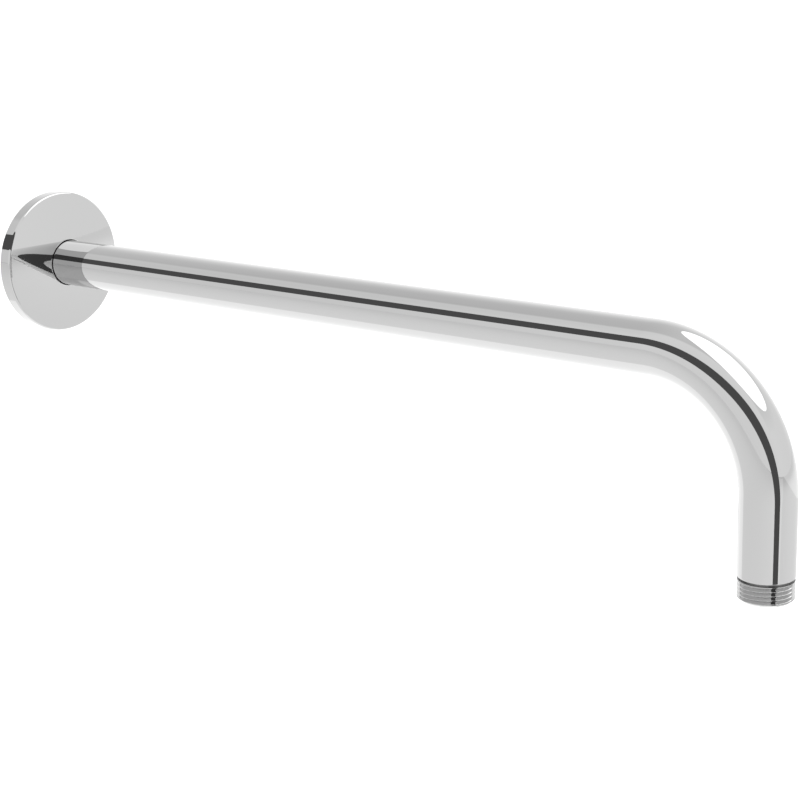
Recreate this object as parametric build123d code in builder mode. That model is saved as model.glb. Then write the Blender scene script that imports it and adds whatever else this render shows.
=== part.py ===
from build123d import *
import os

# A shower arm for a wall outlet: a bent tube with a threaded nipple brazed in each end,
# and a loose round flange that slides on the tube and covers the hole in the wall.
# Millimetres. The wall is the plane X = 0, the arm leaves it along +X, and +Z is up.

# Tube
tube_diameter = 21.3
tube_wall = 1.5
reach = 385.0  # wall to the axis of the outlet
bend_radius = 49.0  # on the tube's centreline
drop = 78.5  # from the arm's axis down to the end of the tube
wall_setback = 3.0  # the tube's inlet end stands this far in front of the wall
tube_edge = 0.5  # edge break round both ends

# Nipples, with room for a half-inch pipe thread of 14 turns to the inch
thread_diameter = 20.955
thread_wall = 3.0  # at least this much from the thread's crest to the waterway
thread_lead = 0.9  # chamfer that starts the thread
neck_length = 1.0  # plain neck where the thread runs out
neck_seat = 0.3  # how far the neck overlaps the tube's end, which stops it
spigot_length = 13.0
spigot_wall = 1.5  # at least this much from the spigot's face to the waterway
braze_gap = 0.05
inlet_length = 19.0  # what stands out of the tube behind the wall
outlet_length = 8.5  # what stands out of the tube below the bend

# Flange
flange_diameter = 66.0
flange_depth = 10.3  # at the tube
rim_depth = 6.0  # at the edge, where the dome meets the rim
flange_face = 2.4  # thickness of the dome
flange_rim = 2.2  # thickness of the rim
flange_edge = 0.5  # bevel of the front edge
flange_gap = 0.35  # the narrow seam round the tube
hub_wall = 2.0
hub_setback = 2.0  # the hub stops short of the wall

# Square-cut rubber ring that grips the tube and keeps the flange where it is put
ring_section = 2.5
ring_gap = 0.05  # to the tube inside it and the groove outside it
groove_room = 0.7  # spare width of the groove

tube_radius = tube_diameter / 2
bore_radius = tube_radius - tube_wall
bend_start = reach - bend_radius
flange_radius = flange_diameter / 2
flange_bore = tube_radius + flange_gap
ring_inner = tube_radius + ring_gap
ring_outer = ring_inner + ring_section
groove_radius = ring_outer + ring_gap
groove_width = ring_section + groove_room
hub_radius = groove_radius + hub_wall
hub_middle = (hub_setback + flange_depth) / 2
dome_rise = flange_depth - rim_depth
dome_middle = (flange_depth + rim_depth - (flange_radius**2 - flange_bore**2) / dome_rise) / 2
dome_radius = ((flange_depth - dome_middle) ** 2 + flange_bore**2) ** 0.5

os.makedirs("parts", exist_ok=True)

# The tube runs straight out of the wall, bends through a right angle and drops to the outlet.
with BuildPart() as arm_tube:
    with BuildLine(Plane.XZ):
        run = Line((wall_setback, 0), (bend_start, 0))
        bend = JernArc(run @ 1, run % 1, bend_radius, -90)
        Line(bend @ 1, (reach, -drop))
    with BuildSketch(Plane.YZ.offset(wall_setback)):
        Circle(tube_radius)
        Circle(bore_radius, mode=Mode.SUBTRACT)
    sweep()
    ends = arm_tube.faces().filter_by(GeomType.PLANE)
    chamfer([end.outer_wire().edge() for end in ends], tube_edge)
arm_tube.part.label = "arm_tube"


def band(start, length, inner, outer, mode=Mode.ADD):
    """One turned band of a half section: its start and length along the axis, and its two radii."""
    with Locations((start, inner)):
        Rectangle(length, outer - inner, align=(Align.MIN, Align.MIN), mode=mode)


def nipple(end, length):
    """A turned nipple on the tube's end: a spigot inside the tube, a neck that rests on its rim, a thread.

    The plane has its origin in the middle of the tube's end and its x direction out of the tube.
    """
    spigot_radius = bore_radius - braze_gap
    thread_radius = thread_diameter / 2
    waterway = min(thread_radius - thread_wall, spigot_radius - spigot_wall)
    with BuildPart() as turned:
        with BuildSketch(end):
            band(-spigot_length, spigot_length, waterway, spigot_radius)
            band(0, neck_length, waterway, bore_radius + neck_seat)
            band(neck_length, length - neck_length, waterway, thread_radius)
        axis = Axis(end.origin, end.x_dir)
        revolve(axis=axis)
        tip_rims = turned.edges().filter_by(GeomType.CIRCLE).group_by(axis)[-1]
        chamfer(tip_rims.sort_by(SortBy.RADIUS)[-1], thread_lead)
    return turned


def dome_at(radius):
    """How far the flange's dome stands in front of the wall at a distance from the axis."""
    return dome_middle + (dome_radius**2 - radius**2) ** 0.5


inlet_end = Plane(origin=(wall_setback, 0, 0), x_dir=(-1, 0, 0), z_dir=(0, 1, 0))
inlet_nipple = nipple(inlet_end, inlet_length)
inlet_nipple.part.label = "inlet_nipple"

outlet_end = Plane(origin=(reach, 0, -drop), x_dir=(0, 0, -1), z_dir=(0, 1, 0))
outlet_nipple = nipple(outlet_end, outlet_length)
outlet_nipple.part.label = "outlet_nipple"

# The flange is a low dome, hollow behind, with a hub round the tube that is grooved for the ring.
with BuildPart() as wall_flange:
    with BuildSketch(Plane.XZ) as section:
        band(0, flange_depth, flange_bore, flange_radius)
        with Locations((dome_middle, 0)):
            Circle(dome_radius, mode=Mode.INTERSECT)
        with BuildLine():
            recess_radius = flange_radius - flange_rim
            Polyline(
                (0, hub_radius),
                (dome_at(hub_radius) - flange_face, hub_radius),
                (dome_at(recess_radius) - flange_face, recess_radius),
                (0, recess_radius),
                close=True,
            )
        make_face(mode=Mode.SUBTRACT)
        band(0, hub_setback, flange_bore, hub_radius, Mode.SUBTRACT)
        band(hub_middle - groove_width / 2, groove_width, flange_bore, groove_radius, Mode.SUBTRACT)
        rim_corners = section.vertices().group_by(Axis.Y)[-1]
        chamfer(rim_corners.sort_by(Axis.X)[-1], flange_edge)
    revolve(section.sketch, axis=Axis.X)
wall_flange.part.label = "wall_flange"

with BuildPart() as flange_ring:
    with BuildSketch(Plane.XZ):
        band(hub_middle - ring_section / 2, ring_section, ring_inner, ring_outer)
    revolve(axis=Axis.X)
flange_ring.part.label = "flange_ring"

for piece in (arm_tube, inlet_nipple, outlet_nipple, wall_flange, flange_ring):
    export_step(piece.part, f"parts/{piece.part.label}.step")
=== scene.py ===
# %% [markdown]
# # A chromed shower arm
#
# The real arm is a brass tube, bent once through a right angle, with a threaded nipple brazed into each end
# and a loose round flange that hides the hole in the wall. Nearly all that shows is bright chromium plate.
# The frame holds the plain solids at their real sizes. Here they get the mesh, the thread and the finish
# that the eye expects, without a change of size or place.

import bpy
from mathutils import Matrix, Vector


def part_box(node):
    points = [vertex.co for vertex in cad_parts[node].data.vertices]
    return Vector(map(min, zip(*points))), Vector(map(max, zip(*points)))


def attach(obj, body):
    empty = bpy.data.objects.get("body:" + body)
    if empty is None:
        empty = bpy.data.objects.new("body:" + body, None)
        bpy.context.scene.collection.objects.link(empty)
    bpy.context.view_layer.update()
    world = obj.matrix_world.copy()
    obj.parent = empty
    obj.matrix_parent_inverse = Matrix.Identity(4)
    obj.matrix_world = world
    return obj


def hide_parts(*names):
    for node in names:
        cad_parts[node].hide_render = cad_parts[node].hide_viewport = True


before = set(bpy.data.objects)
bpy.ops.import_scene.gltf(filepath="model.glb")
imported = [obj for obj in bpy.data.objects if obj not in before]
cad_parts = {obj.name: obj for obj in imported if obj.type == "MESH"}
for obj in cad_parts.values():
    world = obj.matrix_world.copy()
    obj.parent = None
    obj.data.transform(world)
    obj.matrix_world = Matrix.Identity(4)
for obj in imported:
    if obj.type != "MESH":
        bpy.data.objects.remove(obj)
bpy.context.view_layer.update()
print("the frame holds", ", ".join(sorted(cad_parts)))

# %% [markdown]
# Blender works in metres and a fitter thinks in millimetres, so the arm's sizes are written in millimetres
# and turned to metres by one factor. What the frame can tell is read from the frame: the tube's box gives
# its radius, its reach and its drop. The studio round the arm is written in metres.

# %% Sizes read from the frame
import math

import bmesh
import bpy
from mathutils import Matrix, Vector

MM = 0.001
STEPS_IN_A_MM = 20


def from_frame(metres):
    """A size from the frame in mm, to the nearest twentieth, as its round faces are many small flats."""
    return round(metres / MM * STEPS_IN_A_MM) / STEPS_IN_A_MM


tube_low, tube_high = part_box("arm_tube")
flange_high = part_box("wall_flange")[1]
tube_radius = from_frame(tube_high.z)
tube_start = from_frame(tube_low.x)
tube_reach = from_frame(tube_high.x) - tube_radius
tube_drop = from_frame(-tube_low.z)
flange_radius = from_frame(flange_high.z)
flange_depth = from_frame(flange_high.x)
print("tube radius", tube_radius, "reach", tube_reach, "drop", tube_drop)

# %% [markdown]
# ## The finishes
#
# A colour is written as it is picked on a screen, as an sRGB hex value, and one function turns it to the
# linear light that the shader counts in. One more function adds a node, sets it and joins it. A material
# reads Object coordinates, which are the piece's own metres, so its pattern keeps its real size.

# %% Helpers for materials
def linear(hex_colour):
    """An sRGB hex colour as linear red, green, blue and alpha."""
    shares = [int(hex_colour[i:i + 2], 16) / 255 for i in (1, 3, 5)]
    return [s / 12.92 if s <= 0.04045 else ((s + 0.055) / 1.055) ** 2.4 for s in shares] + [1.0]


def add_node(tree, kind, settings, links):
    """Adds a node, sets its properties and its sockets' own values, and joins its inputs."""
    node = tree.nodes.new(kind)
    for key, value in settings.items():
        if isinstance(key, str) and hasattr(node, key):
            setattr(node, key, value)
        else:
            node.inputs[key].default_value = value
    for key, socket in links.items():
        tree.links.new(socket, node.inputs[key])
    return node


def new_material(name):
    """An empty material with its tree, its Object coordinates and its shader, ready to be joined."""
    material = bpy.data.materials.new(name)
    material.use_nodes = True
    tree = material.node_tree
    tree.nodes.clear()
    place = add_node(tree, "ShaderNodeTexCoord", {}, {}).outputs["Object"]
    shader = add_node(tree, "ShaderNodeBsdfPrincipled", {}, {})
    add_node(tree, "ShaderNodeOutputMaterial", {}, {"Surface": shader.outputs["BSDF"]})
    return material, tree, place, shader


# %% [markdown]
# ### Bright chromium plate
#
# A few tenths of a micron of chromium over polished nickel on brass. It is a plain grey mirror that gives
# back about half of the light, so what the eye sees is the room. What marks it as a real surface is the
# buffing: a slight haze that comes and goes over about a centimetre, and fine polishing marks. Real marks
# are finer than a hair, so they are drawn some tenths of a millimetre wide, or they could not show. Both go
# into the roughness alone, because a bump would bend the long straight reflections.

# %% Bright chromium plate
CHROMIUM = "#BCBCBC"
HAZE_DETAIL = 3.0
MARK_DETAIL = 1.0
BUFFING_SPAN = (0.1, 0.45)  # what haze times marks comes to, from the smoothest places to the roughest
SMOOTHEST = 0.4  # roughness of the smoothest places, as a share of the roughest


def bright_plate(name, haze_mm, mark_mm, roughest):
    """Mirror-bright plate with a cloudy buffing haze and fine polishing marks in its roughness."""
    material, tree, place, shader = new_material(name)
    haze = add_node(tree, "ShaderNodeTexNoise", {"Scale": 1 / (haze_mm * MM), "Detail": HAZE_DETAIL},
                    {"Vector": place})
    marks = add_node(tree, "ShaderNodeTexNoise", {"Scale": 1 / (mark_mm * MM), "Detail": MARK_DETAIL},
                     {"Vector": place})
    both = add_node(tree, "ShaderNodeMath", {"operation": "MULTIPLY"},
                    {0: haze.outputs["Fac"], 1: marks.outputs["Fac"]})
    limits = {"From Min": BUFFING_SPAN[0], "From Max": BUFFING_SPAN[1],
              "To Min": SMOOTHEST * roughest, "To Max": roughest}
    rough = add_node(tree, "ShaderNodeMapRange", limits, {"Value": both.outputs["Value"]})
    shader.inputs["Base Color"].default_value = linear(CHROMIUM)
    shader.inputs["Metallic"].default_value = 1.0
    tree.links.new(rough.outputs["Result"], shader.inputs["Roughness"])
    return material


chrome_tube = bright_plate("bright_chromium_plate_on_tube", haze_mm=12.0, mark_mm=0.8, roughest=0.04)
chrome_flange = bright_plate("bright_chromium_plate_on_flange", haze_mm=9.0, mark_mm=0.6, roughest=0.04)
chrome_thread = bright_plate("bright_chromium_plate_on_thread", haze_mm=3.0, mark_mm=0.4, roughest=0.05)
print("made", [m.name for m in (chrome_tube, chrome_flange, chrome_thread)])

# %% [markdown]
# ### Unpolished plate, painted shade in the neck, bare brass and rubber
#
# No buffing wheel reaches the flange's hollow back, so the plate there is satin. The narrow neck above the
# thread gets a duller, darker grey plate. The darker grey is painted shade: it stands in for the shade in
# the gap under the tube's rim and draws a dark line there. Plating hardly reaches the inside of a long
# tube, so the bore is bare brass gone dull. The ring in the flange's hub is moulded nitrile rubber, near
# black and slightly chalky. Each is matt because its surface is grainy, so one noise of the grain's size
# can drive the colour, the roughness and the bump together.

# %% Unpolished plate, painted shade in the neck, bare brass and rubber
MIX_DARK, MIX_LIGHT, MIX_RESULT = 6, 7, 2  # the colour sockets of a Mix node
GRAIN_DETAIL = 4.0
GRAIN_SPAN = (0.3, 0.7)  # where nearly all of the grain's values lie
ROUGH_SPAN = (0.8, 1.2)  # times the roughness, from the dark grains to the light ones


def grained(name, dark, light, metallic, grain_mm, roughness, bump_mm):
    """A surface whose colour, roughness and small bumps follow one grain."""
    material, tree, place, shader = new_material(name)
    noise = add_node(tree, "ShaderNodeTexNoise", {"Scale": 1 / (grain_mm * MM), "Detail": GRAIN_DETAIL},
                     {"Vector": place})
    grain = noise.outputs["Fac"]
    colours = {"data_type": "RGBA", MIX_DARK: linear(dark), MIX_LIGHT: linear(light)}
    colour = add_node(tree, "ShaderNodeMix", colours, {"Factor": grain})
    limits = {"From Min": GRAIN_SPAN[0], "From Max": GRAIN_SPAN[1],
              "To Min": ROUGH_SPAN[0] * roughness, "To Max": ROUGH_SPAN[1] * roughness}
    rough = add_node(tree, "ShaderNodeMapRange", limits, {"Value": grain})
    bump = add_node(tree, "ShaderNodeBump", {"Strength": 1.0, "Distance": bump_mm * MM}, {"Height": grain})
    shader.inputs["Metallic"].default_value = metallic
    tree.links.new(colour.outputs[MIX_RESULT], shader.inputs["Base Color"])
    tree.links.new(rough.outputs["Result"], shader.inputs["Roughness"])
    tree.links.new(bump.outputs["Normal"], shader.inputs["Normal"])
    return material


# The neck's darker grey is painted shade for the gap under the tube's rim.
neck_plate_painted_shade = grained("painted_shade_plate_in_neck", "#8C8C8C", "#9A9A9A", metallic=1.0,
                     grain_mm=0.5, roughness=0.3, bump_mm=0.005)
satin_plate = grained("unpolished_plate_behind_flange", "#A6A6A6", "#B9B9B8", metallic=1.0,
                      grain_mm=0.7, roughness=0.32, bump_mm=0.01)
bare_brass = grained("dull_bare_brass_bore", "#8C7440", "#A98E52", metallic=1.0,
                     grain_mm=1.5, roughness=0.4, bump_mm=0.01)
ring_rubber = grained("moulded_nitrile_rubber", "#171717", "#232323", metallic=0.0,
                      grain_mm=0.4, roughness=0.6, bump_mm=0.02)
print("made", [m.name for m in (neck_plate_painted_shade, satin_plate, bare_brass, ring_rubber)])

# %% [markdown]
# ## Working by hand, in code
#
# Each piece starts from a primitive, is shaped in edit mode and is closed again. Small helpers stand for
# what the hand does all the time: start a piece with nothing else selected, close its shell, pick edges or
# faces by where they are, and finish with a modifier. The primitive's place goes into the mesh at once, so
# the finished object sits at the origin as the solids of the frame do.

# %% Helpers for starting and closing a piece
MERGE_MM = 0.001  # corners nearer than this become one


def start_piece(name, add_primitive, **settings):
    """Adds a primitive with nothing else selected and opens it in edit mode, all of it selected."""
    bpy.ops.object.select_all(action="DESELECT")
    add_primitive(**settings)
    piece = bpy.context.object
    piece.name = name
    piece.data.name = name
    bpy.ops.object.transform_apply(location=True, rotation=True, scale=True)
    bpy.ops.object.mode_set(mode="EDIT")
    bpy.ops.mesh.select_mode(type="VERT")
    bpy.ops.mesh.select_all(action="SELECT")
    return piece


def close_shell():
    """Merges the corners that lie on each other and turns every face outwards."""
    bpy.ops.mesh.select_mode(type="VERT")
    bpy.ops.mesh.select_all(action="SELECT")
    bpy.ops.mesh.remove_doubles(threshold=MERGE_MM * MM)
    bpy.ops.mesh.normals_make_consistent(inside=False)


# %% Helpers for picking and finishing
def pick(kind, test):
    """Selects the edges or faces of which every corner's place passes a test, and counts them."""
    bpy.ops.mesh.select_mode(type=kind)
    bpy.ops.mesh.select_all(action="DESELECT")
    shape = bmesh.from_edit_mesh(bpy.context.object.data)
    parts = {"EDGE": shape.edges, "FACE": shape.faces}[kind]
    chosen = [part for part in parts if all(test(corner.co) for corner in part.verts)]
    for part in chosen:
        part.select_set(True)
    bmesh.update_edit_mesh(bpy.context.object.data)
    return len(chosen)


def apply_modifier(piece, kind, **settings):
    """Adds a modifier with its settings and applies it."""
    modifier = piece.modifiers.new(kind.lower(), kind)
    for key, value in settings.items():
        setattr(modifier, key, value)
    bpy.ops.object.modifier_apply(modifier=modifier.name)


def say(piece):
    """Prints how many triangles a piece has."""
    triangles = sum(len(face.vertices) - 2 for face in piece.data.polygons)
    print(piece.name, "has", triangles, "triangles")


# %% [markdown]
# ## The bent tube
#
# A tube could be a curve with a round bevel, but drawing it as a bender makes it gives cleaner ends: a
# circle at the wall is pulled out straight, spun round the bend's middle and pulled down to the outlet.
# Solidify then gives the wall its thickness inwards. The rims at both ends are broken by a small round
# edge, which catches the bright line above the thread.

# %% The bent tube
TUBE_SIDES = 192
BEND_STEPS = 96
bend_radius = 49.0
tube_wall = 1.5
bend_start = tube_reach - bend_radius
run_length = bend_start - tube_start

arm_tube = start_piece("plated_arm_tube", bpy.ops.mesh.primitive_circle_add, vertices=TUBE_SIDES,
                       radius=tube_radius * MM, location=(tube_start * MM, 0, 0),
                       rotation=(0, math.pi / 2, 0))
bpy.ops.mesh.extrude_region_move(TRANSFORM_OT_translate={"value": (run_length * MM, 0, 0)})
bpy.ops.mesh.spin(steps=BEND_STEPS, angle=math.pi / 2, center=(bend_start * MM, 0, -bend_radius * MM),
                  axis=(0, -1, 0))
bpy.ops.mesh.extrude_region_move(TRANSFORM_OT_translate={"value": (0, 0, (bend_radius - tube_drop) * MM)})
close_shell()
bpy.ops.object.mode_set(mode="OBJECT")
for finish in (chrome_tube, bare_brass):
    arm_tube.data.materials.append(finish)
apply_modifier(arm_tube, "SOLIDIFY", thickness=tube_wall * MM, offset=-1.0, material_offset=1)
print("tube drawn to", [round(c / MM, 2) for c in arm_tube.dimensions])

# %% Break the tube's two outer rims
NEAR = 0.05  # mm, how close a corner has to be to count as being on a line or face
SMOOTH_BELOW = math.radians(30)  # an edge that turns further than this stays sharp
RIM_STEPS = 4
tube_edge = 0.5


def near(metres, millimetres):
    """Whether a coordinate in metres is at a place in millimetres."""
    return abs(metres / MM - millimetres) < NEAR


def on_tube_rim(co):
    """The outer edge of the tube's two ends."""
    at_wall = near(co.x, tube_start) and near(math.hypot(co.y, co.z), tube_radius)
    at_outlet = near(co.z, -tube_drop) and near(math.hypot(co.x - tube_reach * MM, co.y), tube_radius)
    return at_wall or at_outlet


def round_edges(test, radius, steps):
    """Rounds the edges whose corners pass a test."""
    count = pick("EDGE", test)
    bpy.ops.mesh.bevel(offset=radius * MM, segments=steps, profile=0.5, affect="EDGES")
    print("rounded", count, "edges to", radius, "mm")


bpy.ops.object.mode_set(mode="EDIT")
round_edges(on_tube_rim, tube_edge, RIM_STEPS)
bpy.ops.object.mode_set(mode="OBJECT")
bpy.ops.object.shade_smooth_by_angle(angle=SMOOTH_BELOW)
apply_modifier(arm_tube, "WEIGHTED_NORMAL", keep_sharp=True)
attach(arm_tube, "arm")
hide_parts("arm_tube")
say(arm_tube)

# %% [markdown]
# ## Turned pieces
#
# The flange and the two nipples come off a lathe, so they are drawn as a turner sees them: half of the
# section, corner by corner, spun once round the axis. The section is drawn by pulling one corner along,
# which leaves exactly the corners that the piece has.

# %% Helpers that turn a half section
ACROSS = Vector((0, 1, 0))  # the side of its axis that every section is drawn on


def draw_section(name, corners, origin, out):
    """Draws a closed half section. A corner is a distance along the axis and a radius, in mm."""
    places = [origin + (out * along + ACROSS * radius) * MM for along, radius in corners]
    piece = start_piece(name, bpy.ops.mesh.primitive_plane_add, size=MM)
    bpy.ops.mesh.merge(type="CENTER")
    bpy.ops.transform.translate(value=places[0])
    for here, there in zip(places, places[1:] + places[:1]):
        bpy.ops.mesh.extrude_vertices_move(TRANSFORM_OT_translate={"value": there - here})
    return piece


def spin_section(origin, out, sides):
    """Spins the drawn section once round its axis and closes the shell."""
    bpy.ops.mesh.select_all(action="SELECT")
    bpy.ops.mesh.remove_doubles(threshold=MERGE_MM * MM)
    bpy.ops.mesh.spin(steps=sides, angle=2 * math.pi, center=origin, axis=out)
    close_shell()


# %% [markdown]
# ## The wall flange
#
# A low plated dome, hollow behind so that only its rim meets the tiles, with a hub round the tube and a
# groove in the hub for the rubber ring. The dome is what draws the tube's mirror image to a point. A bevel
# would leave its wide front as one long flat, so the section is drawn with the dome and the rounded edge as
# arcs of many short steps. The narrow gap round the tube is the dark seam that shows that the flange is a
# loose piece.

# %% Sizes of the wall flange
rim_depth = 6.0
flange_face = 2.4
flange_rim = 2.2
flange_edge = 1.2
flange_gap = 0.35
ring_room = 2.6  # from the tube to the floor of the ring's groove
hub_wall = 2.0
hub_back = 2.0
groove_back = 4.55
groove_front = 7.75
flange_bore = tube_radius + flange_gap
groove_radius = tube_radius + ring_room
hub_radius = groove_radius + hub_wall
recess_radius = flange_radius - flange_rim
dome_rise = flange_depth - rim_depth
dome_middle = (flange_depth + rim_depth - (flange_radius ** 2 - flange_bore ** 2) / dome_rise) / 2
dome_radius = math.hypot(flange_depth - dome_middle, flange_bore)


def dome_at(radius):
    """How far the dome stands in front of the wall in mm, at a distance from the axis."""
    return dome_middle + math.sqrt(dome_radius ** 2 - radius ** 2)


print("dome radius", round(dome_radius, 1), "mm and hub radius", round(hub_radius, 2), "mm")

# %% The flange's dome and rounded edge
DOME_STEPS = 48
EDGE_STEPS = 10


def arc(middle, radius, start, end, steps):
    """Corners of an arc in the half section, between two angles from the axis."""
    angles = [start + (end - start) * i / steps for i in range(steps + 1)]
    return [(middle[0] + radius * math.cos(a), middle[1] + radius * math.sin(a)) for a in angles]


edge_middle = flange_radius - flange_edge
edge_start = math.asin(edge_middle / (dome_radius - flange_edge))
edge_place = (dome_middle + (dome_radius - flange_edge) * math.cos(edge_start), edge_middle)
bore_start = math.asin(flange_bore / dome_radius)
dome = arc((dome_middle, 0), dome_radius, bore_start, edge_start, DOME_STEPS)
rounded_edge = arc(edge_place, flange_edge, edge_start, math.pi / 2, EDGE_STEPS)
print("straight rim", round(edge_place[0], 2), "mm deep")

# %% The wall flange
FLANGE_SIDES = 256
wall_plane = Vector((0, 0, 0))
along_arm = Vector((1, 0, 0))

wall_flange = draw_section("plated_wall_flange", dome + rounded_edge[1:] + [
    (0, flange_radius), (0, recess_radius), (dome_at(recess_radius) - flange_face, recess_radius),
    (dome_at(hub_radius) - flange_face, hub_radius), (hub_back, hub_radius), (hub_back, flange_bore),
    (groove_back, flange_bore), (groove_back, groove_radius), (groove_front, groove_radius),
    (groove_front, flange_bore),
], wall_plane, along_arm)
spin_section(wall_plane, along_arm, FLANGE_SIDES)
print("flange turned with", len(bmesh.from_edit_mesh(wall_flange.data).faces), "faces")

# %% The flange's seam and its unpolished back
SEAM_STEPS = 2
bore_edge = 0.06


def on_seam(co):
    """The edge of the bore on the flange's front."""
    return near(co.x, flange_depth) and near(math.hypot(co.y, co.z), flange_bore)


def behind_flange(co):
    """The hollow back and the hub, which no buffing wheel reaches."""
    radius = math.hypot(co.y, co.z) / MM
    return radius < recess_radius + NEAR and co.x / MM < dome_at(radius) - flange_face + NEAR


def give_finish(piece, finish, test):
    """Adds a finish to the piece and gives it to the faces that pass a test."""
    piece.data.materials.append(finish)
    piece.active_material_index = len(piece.data.materials) - 1
    count = pick("FACE", test)
    bpy.ops.object.material_slot_assign()
    print(count, "faces of", piece.name, "take", finish.name)


round_edges(on_seam, bore_edge, SEAM_STEPS)
wall_flange.data.materials.append(chrome_flange)
give_finish(wall_flange, satin_plate, behind_flange)
bpy.ops.object.mode_set(mode="OBJECT")
bpy.ops.object.shade_smooth_by_angle(angle=SMOOTH_BELOW)
apply_modifier(wall_flange, "WEIGHTED_NORMAL", keep_sharp=True)
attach(wall_flange, "flange")
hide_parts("wall_flange")
say(wall_flange)

# %% [markdown]
# ## The threaded nipples
#
# Each nipple is one turned piece: a spigot inside the tube, a short neck that rests on the tube's rim, and
# the thread. A screw modifier could wind the thread, but its ends would stay open. So the turned blank gets
# many fine rows where the thread goes, and cutting it moves each corner in towards the axis by the depth of
# the groove at that place. The flanks meet at 60 degrees in a sharp root. Plated bright, each mirrors the
# other, which is why a chromed thread looks grey. The thread stops at a narrow land on the neck's side and
# at a plain lead at the tip.

# %% The form of the thread
thread_radius = 10.4775
thread_pitch = 1.55  # as its rows measure in the picture
flank = math.radians(30)  # half of the angle between two flanks
crest_flat = thread_pitch / 12
first_crest = 0.5  # mm, shifts the turns along the axis
thread_depth = (thread_pitch - crest_flat) / 2 / math.tan(flank)


def groove_depth(turns):
    """Depth of the thread in mm at a number of turns past the middle of a crest."""
    from_crest = abs((turns + 0.5) % 1 - 0.5) * thread_pitch
    return max(from_crest - crest_flat / 2, 0) / math.tan(flank)


print("thread pitch", thread_pitch, "mm and depth", round(thread_depth, 3), "mm")

# %% Sizes of a nipple
spigot_length = 13.0
braze_gap = 0.05  # round the spigot
neck_seat = 0.3  # how far the neck overlaps the tube's end
thread_wall = 3.0  # from the thread's crest to the waterway
thread_start = 0.85  # length of the neck
thread_land = 0.15
thread_lead = 0.9
bore_radius = tube_radius - tube_wall
spigot_radius = bore_radius - braze_gap
neck_radius = bore_radius + neck_seat
waterway = thread_radius - thread_wall
print("waterway radius", round(waterway, 2), "mm and neck radius", round(neck_radius, 2), "mm")

# %% Where a corner is on a nipple
NEAR_ROW = 0.01  # mm, less than the space between two rows of corners on a thread


def along_and_off(co, origin, out):
    """How far a corner is along the axis in mm, and its offset from the axis in metres."""
    along = (co - origin).dot(out)
    return along / MM, co - origin - out * along


def on_thread(co, origin, out, start, end):
    """Whether a corner is on the thread's outside between two places along the axis."""
    along, off = along_and_off(co, origin, out)
    return start - NEAR < along < end + NEAR and off.length / MM > thread_radius - thread_lead - NEAR


def in_neck(co, origin, out):
    """Whether a corner is on the neck or on the two flat faces beside it."""
    along, off = along_and_off(co, origin, out)
    return -NEAR < along < thread_start + NEAR_ROW and off.length / MM > spigot_radius - NEAR


def in_waterway(co, origin, out):
    """Whether a corner is on the wall of the waterway."""
    return along_and_off(co, origin, out)[1].length < (waterway + NEAR) * MM


# %% Turn a nipple and cut its thread
NIPPLE_SIDES = 160


def cut_thread(piece, origin, out, length):
    """Moves the corners on the thread in to the groove, which winds once round for each pitch."""
    up = out.cross(ACROSS)
    shape = bmesh.from_edit_mesh(piece.data)
    for corner in shape.verts:
        if on_thread(corner.co, origin, out, thread_start, length):
            along, off = along_and_off(corner.co, origin, out)
            turned = math.atan2(off.dot(up), off.dot(ACROSS)) / (2 * math.pi)
            groove = groove_depth((along - first_crest) / thread_pitch - turned)
            to_land = min(along - thread_start - thread_land, length - thread_lead - along)
            radius = thread_radius - min(groove, max(to_land, 0) / math.tan(flank))
            radius = min(radius, off.length / MM)
            corner.co += off.normalized() * (radius * MM - off.length)
    bmesh.update_edit_mesh(piece.data)


def threaded_nipple(name, origin, out, length, rows):
    """A turned nipple that stands out of the tube by a length in mm, with rows of corners for each turn."""
    lead_start = length - thread_lead
    piece = draw_section(name, [
        (-spigot_length, waterway), (-spigot_length, spigot_radius), (0, spigot_radius), (0, neck_radius),
        (thread_start, neck_radius), (thread_start, thread_radius), (lead_start, thread_radius),
        (length, thread_radius - thread_lead), (length, waterway),
    ], origin, out)
    for start, end in ((thread_start, lead_start), (lead_start, length)):
        turns = max(1, round((end - start) / thread_pitch))
        for pieces in (turns, rows):
            pick("EDGE", lambda co: on_thread(co, origin, out, start, end))
            bpy.ops.mesh.subdivide(number_cuts=pieces - 1)
    spin_section(origin, out, NIPPLE_SIDES)
    cut_thread(piece, origin, out, length)
    return piece


# %% The inlet and the outlet
INLET_ROWS = 24
OUTLET_ROWS = 48  # twice as fine, because the outlet is in plain view
THREAD_SMOOTH_BELOW = math.radians(40)
inlet_end = Vector((tube_start * MM, 0, 0))
outlet_end = Vector((tube_reach * MM, 0, -tube_drop * MM))
inlet_length = from_frame(inlet_end.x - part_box("inlet_nipple")[0].x)
outlet_length = from_frame(outlet_end.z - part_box("outlet_nipple")[0].z)
nipples = (
    ("inlet_nipple", inlet_end, Vector((-1, 0, 0)), inlet_length, INLET_ROWS),
    ("outlet_nipple", outlet_end, Vector((0, 0, -1)), outlet_length, OUTLET_ROWS),
)
for node, end, out, length, rows in nipples:
    nipple = threaded_nipple("threaded_" + node, end, out, length, rows)
    nipple.data.materials.append(chrome_thread)
    give_finish(nipple, bare_brass, lambda co: in_waterway(co, end, out))
    # The neck takes the plate with painted shade, a darker grey for the gap under the tube's rim.
    give_finish(nipple, neck_plate_painted_shade, lambda co: in_neck(co, end, out))
    bpy.ops.object.mode_set(mode="OBJECT")
    bpy.ops.object.shade_smooth_by_angle(angle=THREAD_SMOOTH_BELOW)
    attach(nipple, "arm")
    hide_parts(node)
    say(nipple)

# %% [markdown]
# ## The rubber ring
#
# The square-cut ring sits in the hub's groove and is right as the frame has it, so it stays and takes only
# its finish.

# %% The rubber ring
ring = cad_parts["flange_ring"]
ring.data.materials.clear()
ring.data.materials.append(ring_rubber)
print("ring takes", ring_rubber.name)

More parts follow.
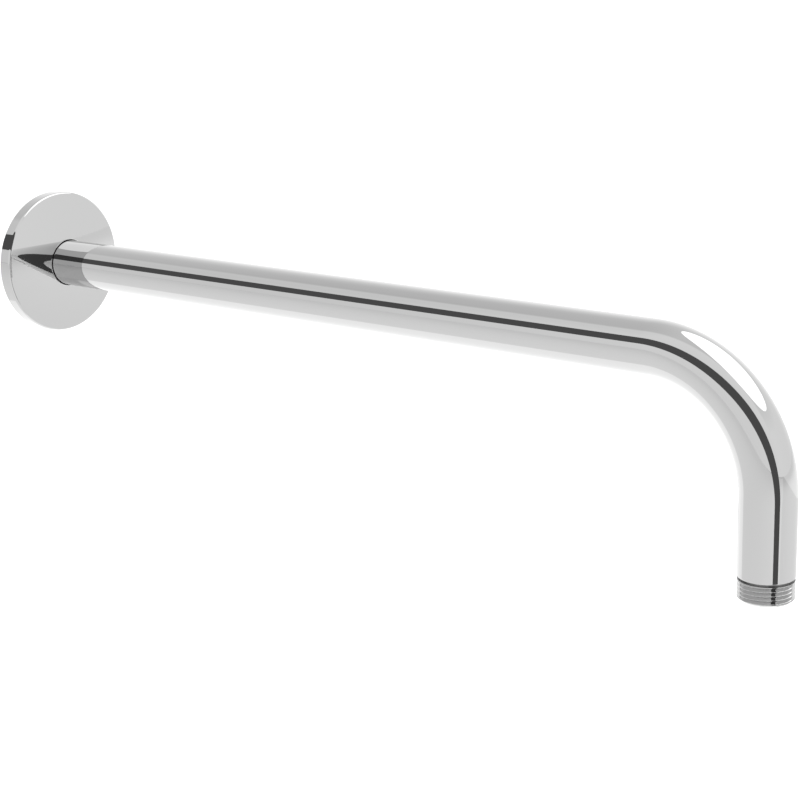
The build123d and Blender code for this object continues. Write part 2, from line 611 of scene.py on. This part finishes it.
# %% [markdown]
# ## The studio
#
# Polished metal has no look of its own: it shows what stands round it. So the studio is built as a
# photographer builds it for chrome: a pale floor, white walls with a greyer ceiling, one wide round soft
# box overhead and behind, more light on parts of the floor, and a strip of black velvet in front. The metal
# sees the strip and the lamps, and the camera does not.
#
# The floor is matt white paint. The camera sees it a little brighter than the metal does, so that it is as
# white as the walls in the picture.

# %% Floor
FLOOR_DROP = 1.1  # m from the arm's axis down to the floor
FLOOR_WIDTH = 120.0
FLOOR_WHITE = "#E8E8E8"
FLOOR_ROUGHNESS = 0.9
FLOOR_LIFT = 0.3  # what the camera sees on top of the light that falls there, where 1 is white

bpy.ops.object.select_all(action="DESELECT")
bpy.ops.mesh.primitive_plane_add(size=FLOOR_WIDTH, location=(0, 0, -FLOOR_DROP))
floor = bpy.context.object
floor.name = "studio_floor"
floor_paint, tree, _, shader = new_material("matt_white_floor")
shader.inputs["Base Color"].default_value = linear(FLOOR_WHITE)
shader.inputs["Roughness"].default_value = FLOOR_ROUGHNESS
shader.inputs["Specular IOR Level"].default_value = 0.0
seen = add_node(tree, "ShaderNodeLightPath", {}, {})
lift = add_node(tree, "ShaderNodeMath", {"operation": "MULTIPLY", 1: FLOOR_LIFT},
                {0: seen.outputs["Is Camera Ray"]})
shader.inputs["Emission Color"].default_value = linear("#FFFFFF")
tree.links.new(lift.outputs["Value"], shader.inputs["Emission Strength"])
floor.data.materials.append(floor_paint)
print("floor", FLOOR_DROP, "m below the arm")

# %% [markdown]
# The walls and the ceiling are the world, which has no distance, so they are drawn by direction. How far a
# direction goes towards a side is 1 straight at it, 0 square to it and -1 away from it. A ramp over such a
# value makes a soft shade, and two ramps multiplied keep a shade to one corner of the room.

# %% Helpers for the walls
room = bpy.data.worlds.new("white_room")
bpy.context.scene.world = room
room.use_nodes = True
tree = room.node_tree
tree.nodes.clear()
direction = add_node(tree, "ShaderNodeTexCoord", {}, {}).outputs["Generated"]


def towards(x, y, z):
    """How far the direction goes along a vector."""
    settings = {"operation": "DOT_PRODUCT", 1: (x, y, z)}
    return add_node(tree, "ShaderNodeVectorMath", settings, {0: direction}).outputs["Value"]


def ramp(value, span, levels):
    """A level that goes from the first to the second while a value goes over its span."""
    limits = {"From Min": span[0], "From Max": span[1], "To Min": levels[0], "To Max": levels[1]}
    return add_node(tree, "ShaderNodeMapRange", limits, {"Value": value}).outputs["Result"]


def joined(operation, first, second):
    """Two levels joined by one operation, such as a product."""
    node = add_node(tree, "ShaderNodeMath", {"operation": operation}, {0: first, 1: second})
    return node.outputs["Value"]


print("made the world", room.name)

# %% Walls and ceiling
WALL_FRONT, WALL_BACK = 1.18, 1.33  # brightness, where 1 is a white card
RIGHT_BACK_SHADE = 0.12  # how much darker these parts of the room are at most
LEFT_FRONT_SHADE = 0.13
CEILING_SHADE = 0.25
UPPER_LEFT_SHADE = 0.16
CEILING_LEAN = 0.27  # the ceiling's shade starts this far in front of the arm for each metre up
UPPER_LEFT = (-0.77, 0.1, 0.63)
FRONT_TO_BACK = (-1.0, 1.0)  # spans of a direction that a level changes over
BACK_SPAN = (0.0, 1.0)
FRONT_SPAN = (-0.4, 0.0)
RIGHT_SPAN = (-0.1, 0.3)
LEFT_SPAN = (-0.7, -0.5)
CEILING_SPAN = (0.4, 0.75)
LEAN_SPAN = (-0.05, 0.05)
UPPER_LEFT_SPAN = (0.75, 1.0)
FADE_IN, FADE_OUT = (0.0, 1.0), (1.0, 0.0)

to_back = towards(0, 1, 0)
to_right = towards(1, 0, 0)
to_top = towards(0, 0, 1)
past_the_lean = towards(0, 1, CEILING_LEAN)
to_upper_left = towards(*UPPER_LEFT)
walls = ramp(to_back, FRONT_TO_BACK, (WALL_FRONT, WALL_BACK))
right_back = joined("MULTIPLY", ramp(to_back, BACK_SPAN, (0.0, RIGHT_BACK_SHADE)),
                    ramp(to_right, RIGHT_SPAN, FADE_IN))
left_front = joined("MULTIPLY", ramp(to_back, FRONT_SPAN, (LEFT_FRONT_SHADE, 0.0)),
                    ramp(to_right, LEFT_SPAN, FADE_OUT))
ceiling = joined("MULTIPLY", ramp(to_top, CEILING_SPAN, (0.0, CEILING_SHADE)),
                 ramp(past_the_lean, LEAN_SPAN, FADE_IN))
upper_left = ramp(to_upper_left, UPPER_LEFT_SPAN, (0.0, UPPER_LEFT_SHADE))
level = walls
for shade in (right_back, left_front, ceiling, upper_left):
    level = joined("SUBTRACT", level, shade)
print("walls", WALL_FRONT, "in front to", WALL_BACK, "behind, ceiling", CEILING_SHADE, "darker")

# %% What the camera and the metal see of the room
seen = add_node(tree, "ShaderNodeLightPath", {}, {})
white = add_node(tree, "ShaderNodeBackground", {"Color": (1, 1, 1, 1), "Strength": 1.0}, {})
studio = add_node(tree, "ShaderNodeBackground", {"Color": (1, 1, 1, 1)}, {"Strength": level})
mixed = add_node(tree, "ShaderNodeMixShader", {},
                 {0: seen.outputs["Is Camera Ray"], 1: studio.outputs[0], 2: white.outputs[0]})
add_node(tree, "ShaderNodeOutputWorld", {}, {"Surface": mixed.outputs[0]})
print("the camera sees plain white, and all else sees the room")

# %% [markdown]
# The soft box gives the long highlight on the bend. It could hang just over the arm, but far away and large
# it lights the floor evenly as well, so its place and size are given for each metre of height. A lit table
# and its end whiten the underside, and light on the floor in front and behind lifts the greys of the run,
# the drop and the flange. A lamp in a mirror adds its light to what lies behind it, so a lamp that lies on
# the floor makes that part of the floor brighter.

# %% A helper for level lamps
def level_lamp(name, shape, middle, size, facing_up, brightness, turn=0.0):
    """A level lamp that adds a brightness, as a share of a white card's, to what is seen behind it."""
    bpy.ops.object.light_add(type="AREA", location=middle, rotation=(math.pi if facing_up else 0, 0, turn))
    lamp = bpy.context.object
    lamp.name = name
    lamp.data.shape = shape
    lamp.data.size = size[0]
    lamp.data.size_y = size[1]
    area = size[0] * size[1] * (math.pi / 4 if shape == "ELLIPSE" else 1)
    lamp.data.energy = brightness * math.pi * area
    lamp.visible_camera = False
    print(name, [round(side, 2) for side in size], "m")


# %% Soft box
SOFT_BOX_HEIGHT = 6.0  # m above the arm's axis
SOFT_BOX_FROM = 0.3  # m along the arm, where the slopes start
SOFT_BOX_SLOPES = (0.54, 0.563)  # to the right and to the back, for each metre of height
SOFT_BOX_SPREAD = (0.79, 0.867)  # half of its width and of its depth, for each metre of height
SOFT_BOX_TURN = math.radians(32)
SOFT_BOX_BRIGHTNESS = 1.4

to_the_right, to_the_back = (slope * SOFT_BOX_HEIGHT for slope in SOFT_BOX_SLOPES)
soft_box_place = (SOFT_BOX_FROM + to_the_right, to_the_back, SOFT_BOX_HEIGHT)
soft_box_size = [2 * spread * SOFT_BOX_HEIGHT for spread in SOFT_BOX_SPREAD]
level_lamp("soft_box", "ELLIPSE", soft_box_place, soft_box_size, facing_up=False,
           brightness=SOFT_BOX_BRIGHTNESS, turn=SOFT_BOX_TURN)

# %% Lit table and floor
LAMP_LIFT = 0.01  # m from the floor up to a lamp that lies on it
FLOOR_LAMPS = {
    "lit_table": {"middle": (-4.0, 0.7), "size": (8.0, 2.28), "brightness": 0.45},
    "lit_table_end": {"middle": (0.275, 0.15), "size": (0.55, 0.9), "brightness": 0.45},
    "lit_floor_in_front": {"middle": (0.0, -30.22), "size": (60.0, 59.56), "brightness": 0.155},
    "lit_floor_behind": {"middle": (25.0, 31.75), "size": (70.0, 56.5), "brightness": 0.24},
}
for name, lit in FLOOR_LAMPS.items():
    place = (*lit["middle"], LAMP_LIFT - FLOOR_DROP)
    level_lamp(name, "RECTANGLE", place, lit["size"], facing_up=True, brightness=lit["brightness"])

# %% [markdown]
# The long dark line on chrome is a black flag, a strip of velvet that a photographer hangs where the metal
# mirrors it. This one is an arch in front of the arm, level along the run and bent down along the drop, so
# that the line follows the arm round its bend. Its two edges are drawn and joined by one row of faces. The
# velvet glows a very dark grey, the same wherever the light falls.

# %% Black flag
FLAG_LEFT = -2.0  # m
FLAG_FOOT = -0.67
CORNER_STEPS = 48
VELVET_GLOW = 0.12
FRONT_EDGE = {"y": -0.376, "middle": (0.422, -0.321), "wide": 0.470, "high": 0.458}
BACK_EDGE = {"y": -0.124, "middle": (0.484, -0.202), "wide": 0.335, "high": 0.319}


def flag_edge(edge):
    """One edge of the strip: level from the left, round the corner and down to the foot."""
    turns = [math.pi / 2 * i / CORNER_STEPS for i in range(CORNER_STEPS + 1)]
    x, z = edge["middle"]
    bent = [(x + edge["wide"] * math.sin(t), edge["y"], z + edge["high"] * math.cos(t)) for t in turns]
    return [(FLAG_LEFT, edge["y"], bent[0][2])] + bent + [(bent[-1][0], edge["y"], FLAG_FOOT)]


front_line, back_line = flag_edge(FRONT_EDGE), flag_edge(BACK_EDGE)
points = len(front_line)
strips = [(i, i + 1, points + i + 1, points + i) for i in range(points - 1)]
cloth = bpy.data.meshes.new("black_flag")
cloth.from_pydata(front_line + back_line, [], strips)
velvet = bpy.data.materials.new("black_velvet")
velvet.use_nodes = True
velvet.node_tree.nodes.clear()
glow = add_node(velvet.node_tree, "ShaderNodeEmission",
                {"Color": linear("#FFFFFF"), "Strength": VELVET_GLOW}, {})
add_node(velvet.node_tree, "ShaderNodeOutputMaterial", {}, {"Surface": glow.outputs[0]})
cloth.materials.append(velvet)
flag = bpy.data.objects.new("black_flag", cloth)
bpy.context.scene.collection.objects.link(flag)
flag.visible_camera = False
flag.visible_diffuse = False
flag.visible_shadow = False
print("flag spans", [round(d, 2) for d in flag.dimensions], "m")

# %% [markdown]
# ## The camera
#
# The camera stands where the picture was taken from: to the right of the arm and above it, turned left and
# tipped down, with a slight roll. The lens is given in pixels of an 800 pixel wide frame.

# %% The camera
FRAME_PIXELS = 800
FOCAL_PIXELS = 1859.1
SENSOR_WIDTH = 36.0  # mm
CAMERA_PLACE = (693.50, -569.32, 151.46)  # mm
YAW, PITCH, ROLL = (math.radians(a) for a in (-40.1049, 14.2761, -1.2805))
NEAREST, FURTHEST = 0.01, 100.0  # m, what the camera sees

bpy.ops.object.camera_add(location=[c * MM for c in CAMERA_PLACE])
camera = bpy.context.object
camera.data.sensor_width = SENSOR_WIDTH
camera.data.lens = FOCAL_PIXELS / FRAME_PIXELS * SENSOR_WIDTH
camera.data.clip_start = NEAREST
camera.data.clip_end = FURTHEST
look = Vector((math.sin(YAW) * math.cos(PITCH), math.cos(YAW) * math.cos(PITCH), -math.sin(PITCH)))
right = Vector((math.cos(YAW), -math.sin(YAW), 0))
up = right.cross(look)
rolled_right = right * math.cos(ROLL) + up * math.sin(ROLL)
rolled_up = up * math.cos(ROLL) - right * math.sin(ROLL)
camera.rotation_euler = Matrix((rolled_right, rolled_up, -look)).transposed().to_euler()
bpy.context.scene.camera = camera
bpy.context.scene.view_settings.view_transform = "Standard"
print("lens", round(camera.data.lens, 2), "mm")
